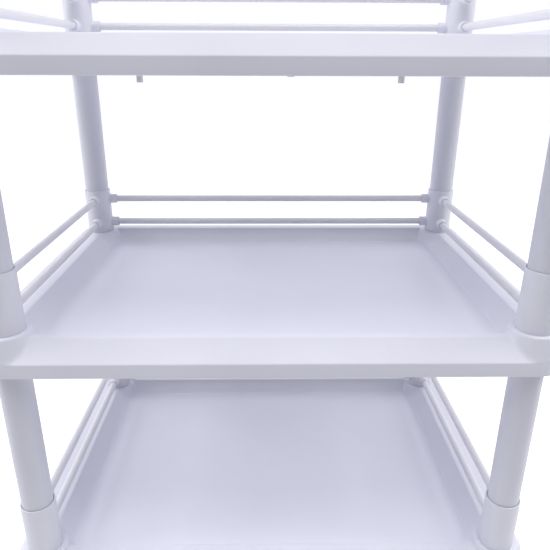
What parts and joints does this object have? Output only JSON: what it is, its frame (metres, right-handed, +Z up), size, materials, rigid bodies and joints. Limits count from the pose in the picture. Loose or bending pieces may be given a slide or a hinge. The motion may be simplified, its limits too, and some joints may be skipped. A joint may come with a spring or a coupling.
{
  "type": "trolley cart",
  "caption": "Three-tier moulded tray trolley on swivel casters, with tube columns, sleeve joints at every corner and twin guard rails on the back and both sides",
  "frame": {"origin": "on the floor, under the centre of the cart", "axes": "+Z up, +X to the cart's right seen from the front, the open front of the shelves faces -Y"},
  "size_m": [0.54, 0.376, 0.6831],
  "materials": {
    "tray_plastic": "moulded white ABS, soft gloss, very slightly cool",
    "joint_plastic": "moulded white plastic, soft gloss",
    "column_tube": "satin white plastic tube",
    "rail_rod": "satin white plastic rod",
    "peg_plastic": "plain grey plastic",
    "caster_plastic": "light grey moulded nylon",
    "pedal_plastic": "mid grey moulded nylon",
    "wheel_tread": "dark grey solid rubber wheel",
    "axle_steel": "zinc-plated steel rivet axle"
  },
  "bodies": {
    "cart": {"tray_bottom": "tray_plastic", "tray_middle": "tray_plastic", "tray_top": "tray_plastic", "column_lower_fl": "column_tube", "column_lower_fr": "column_tube", "column_lower_bl": "column_tube", "column_lower_br": "column_tube", "column_upper_fl": "column_tube", "column_upper_fr": "column_tube", "column_upper_bl": "column_tube", "column_upper_br": "column_tube", "joint_bottom_fl": "joint_plastic", "joint_bottom_fr": "joint_plastic", "joint_bottom_bl": "joint_plastic", "joint_bottom_br": "joint_plastic", "joint_middle_fl": "joint_plastic", "joint_middle_fr": "joint_plastic", "joint_middle_bl": "joint_plastic", "joint_middle_br": "joint_plastic", "joint_top_fl": "joint_plastic", "joint_top_fr": "joint_plastic", "joint_top_bl": "joint_plastic", "joint_top_br": "joint_plastic", "rail_bottom_back_low": "rail_rod", "rail_bottom_back_high": "rail_rod", "rail_bottom_left_low": "rail_rod", "rail_bottom_left_high": "rail_rod", "rail_bottom_right_low": "rail_rod", "rail_bottom_right_high": "rail_rod", "rail_middle_back_low": "rail_rod", "rail_middle_back_high": "rail_rod", "rail_middle_left_low": "rail_rod", "rail_middle_left_high": "rail_rod", "rail_middle_right_low": "rail_rod", "rail_middle_right_high": "rail_rod", "rail_top_back_low": "rail_rod", "rail_top_back_high": "rail_rod", "rail_top_left_low": "rail_rod", "rail_top_left_high": "rail_rod", "rail_top_right_low": "rail_rod", "rail_top_right_high": "rail_rod", "column_caps": "joint_plastic", "caster_sockets": "caster_plastic", "hanger_pegs": "peg_plastic", "drawer_stop": "peg_plastic"},
    "caster_fl": {"fork_fl": "caster_plastic", "axle_fl": "axle_steel"},
    "roller_fl": {"wheel_fl": "wheel_tread"},
    "caster_fr": {"fork_fr": "caster_plastic", "axle_fr": "axle_steel"},
    "roller_fr": {"wheel_fr": "wheel_tread"},
    "caster_bl": {"fork_bl": "caster_plastic", "axle_bl": "axle_steel"},
    "roller_bl": {"wheel_bl": "wheel_tread"},
    "caster_br": {"fork_br": "caster_plastic", "axle_br": "axle_steel"},
    "roller_br": {"wheel_br": "wheel_tread"},
    "brake_fl": {"pedal_fl": "pedal_plastic"},
    "brake_fr": {"pedal_fr": "pedal_plastic"}
  },
  "joints": [
    {"name": "swivel_fl", "type": "hinge", "parent": "cart", "child": "caster_fl", "pos_m": [-0.243, -0.161, 0.058], "axis": [0, 0, 1], "continuous": true},
    {"name": "spin_fl", "type": "hinge", "parent": "caster_fl", "child": "roller_fl", "pos_m": [-0.243, -0.143, 0.025], "axis": [1, 0, 0], "continuous": true},
    {"name": "swivel_fr", "type": "hinge", "parent": "cart", "child": "caster_fr", "pos_m": [0.243, -0.161, 0.058], "axis": [0, 0, 1], "continuous": true},
    {"name": "spin_fr", "type": "hinge", "parent": "caster_fr", "child": "roller_fr", "pos_m": [0.243, -0.143, 0.025], "axis": [1, 0, 0], "continuous": true},
    {"name": "swivel_bl", "type": "hinge", "parent": "cart", "child": "caster_bl", "pos_m": [-0.243, 0.161, 0.058], "axis": [0, 0, 1], "continuous": true},
    {"name": "spin_bl", "type": "hinge", "parent": "caster_bl", "child": "roller_bl", "pos_m": [-0.243, 0.143, 0.025], "axis": [1, 0, 0], "continuous": true},
    {"name": "swivel_br", "type": "hinge", "parent": "cart", "child": "caster_br", "pos_m": [0.243, 0.161, 0.058], "axis": [0, 0, 1], "continuous": true},
    {"name": "spin_br", "type": "hinge", "parent": "caster_br", "child": "roller_br", "pos_m": [0.243, 0.143, 0.025], "axis": [1, 0, 0], "continuous": true},
    {"name": "brake_press_fl", "type": "hinge", "parent": "caster_fl", "child": "brake_fl", "pos_m": [-0.243, -0.133, 0.054], "axis": [1, 0, 0], "range_deg": [-20, 0]},
    {"name": "brake_press_fr", "type": "hinge", "parent": "caster_fr", "child": "brake_fr", "pos_m": [0.243, -0.133, 0.054], "axis": [1, 0, 0], "range_deg": [-20, 0]}
  ]
}
